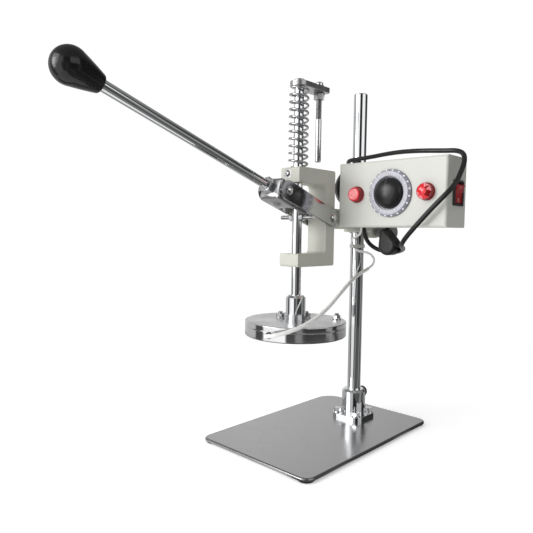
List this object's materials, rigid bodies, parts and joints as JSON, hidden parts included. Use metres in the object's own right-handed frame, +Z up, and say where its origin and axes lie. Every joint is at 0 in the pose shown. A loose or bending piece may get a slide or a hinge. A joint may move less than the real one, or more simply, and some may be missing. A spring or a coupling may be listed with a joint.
{
  "type": "hand-press heat sealer",
  "caption": "Hand-lever heat sealer for the mouths of bottles and cups: sprung heated disc on a height-adjustable head with a control box.",
  "frame": {"origin": "on the table, in the middle of the machine's footprint, measured without the mains cord and plug", "axes": "+Z up, the lever points to -Y, the control box sticks out to +X, the column stands towards +Y"},
  "size_m": [0.2828, 0.5341, 0.492],
  "materials": {
    "stainless": "brushed, then buffed",
    "steel": "plain rolled",
    "rubber": "moulded",
    "zinc": "zinc plated",
    "chrome": "bright chrome plated",
    "black_steel": "blackened",
    "brass": "turned",
    "paint": "satin light grey paint",
    "box_paint": "fine satin light grey powder coat",
    "clear_dial": "clear moulded over silver",
    "dark_plastic": "moulded",
    "red_lens": "clear red lens",
    "white_plastic": "moulded",
    "black_cord": "smooth vinyl",
    "clear_plastic": "nylon",
    "white_lead": "silicone and glass sleeve",
    "mirror_steel": "mirror polished steel",
    "element": "mica wrapped strip",
    "cast_metal": "cast and tumbled",
    "black_knob": "glossy bakelite",
    "red_plastic": "moulded",
    "grey_knob": "moulded"
  },
  "bodies": {
    "base": {"base_plate": "stainless", "backing_plate": "steel", "rubber_feet": "rubber", "foot_nuts": "zinc", "column_socket": "chrome", "socket_bolts": "zinc", "socket_set_screw": "black_steel", "column": "chrome"},
    "sleeve": {"clamp_sleeve": "steel"},
    "head": {"head_casting": "paint", "guide_bushes": "brass", "bush_screw": "zinc", "clamp_nut": "zinc", "rear_pivot_pin": "chrome", "box_shell": "box_paint", "box_rear_cover": "box_paint", "box_screws": "zinc", "dial_ring": "clear_dial", "thermostat": "dark_plastic", "lamp_lens_left": "red_lens", "lamp_lens_right": "red_lens", "lamp_holders": "dark_plastic", "switch_housing": "dark_plastic", "terminal_block": "white_plastic", "cord_gland": "dark_plastic", "power_cord": "black_cord", "cord_coil": "black_cord", "plug_body": "black_cord", "plug_blades": "brass", "cable_ties": "clear_plastic", "heater_lead": "white_lead", "return_spring": "chrome"},
    "ram": {"ram_rod": "chrome", "cross_pin": "zinc", "cross_pin_nuts": "zinc", "crossbar": "zinc", "ram_top_nut": "chrome", "stop_bolt": "zinc", "stop_bolt_nut": "zinc", "hub_collar": "chrome", "hub_screws": "black_steel", "disc_cover": "mirror_steel", "heated_disc": "mirror_steel", "heating_element": "element", "disc_bolts": "zinc", "thermostat_probe": "zinc", "lead_bush": "white_plastic"},
    "links": {"link_left": "mirror_steel", "link_right": "mirror_steel", "front_pivot_pin": "chrome", "pivot_washers": "zinc"},
    "lever": {"yoke": "cast_metal", "handle_rod": "chrome", "handle_lock_nut": "zinc", "handle_knob": "black_knob"},
    "temperature_control": {"temperature_knob": "black_knob"},
    "power_switch": {"switch_rocker": "red_plastic"},
    "height_clamp": {"clamp_knob": "grey_knob", "clamp_screw": "zinc"}
  },
  "joints": [
    {"name": "height_slide", "type": "slide", "parent": "base", "child": "sleeve", "axis": [0, 0, 1], "range_m": [-0.13, 0.12]},
    {"name": "head_swivel", "type": "hinge", "parent": "sleeve", "child": "head", "pos_m": [-0.04234, 0.20475, 0.307], "axis": [0, 0, 1], "range_deg": [-90, 90]},
    {"name": "ram_slide", "type": "slide", "parent": "head", "child": "ram", "axis": [0, 0, -1], "range_m": [0, 0.011], "stiffness_N_per_m": 5000, "springref_m": -0.02, "deforming": ["return_spring", "heater_lead"]},
    {"name": "link_swing", "type": "hinge", "parent": "head", "child": "links", "pos_m": [-0.04234, 0.11515, 0.306], "axis": [1, 0, 0], "range_deg": [0, 10.6]},
    {"name": "lever_pivot", "type": "hinge", "parent": "links", "child": "lever", "pos_m": [-0.04234, 0.02326, 0.3376], "axis": [1, 0, 0], "range_deg": [-2.2, 0.1]},
    {"name": "temperature_turn", "type": "hinge", "parent": "head", "child": "temperature_control", "pos_m": [0.05666, 0.12895, 0.3376], "axis": [0, -1, 0], "range_deg": [0, 300]},
    {"name": "switch_rock", "type": "hinge", "parent": "head", "child": "power_switch", "pos_m": [0.12946, 0.15765, 0.3362], "axis": [0, -1, 0], "range_deg": [0, 18]},
    {"name": "clamp_turn", "type": "hinge", "parent": "head", "child": "height_clamp", "pos_m": [-0.02234, 0.23275, 0.2885], "axis": [1, 0, 0], "range_deg": [0, 270]}
  ],
  "couplings": [
    {"joint": "link_swing", "follows": "ram_slide", "rad_per_m": 16.58},
    {"joint": "lever_pivot", "follows": "ram_slide", "rad_per_m": -3.33}
  ]
}
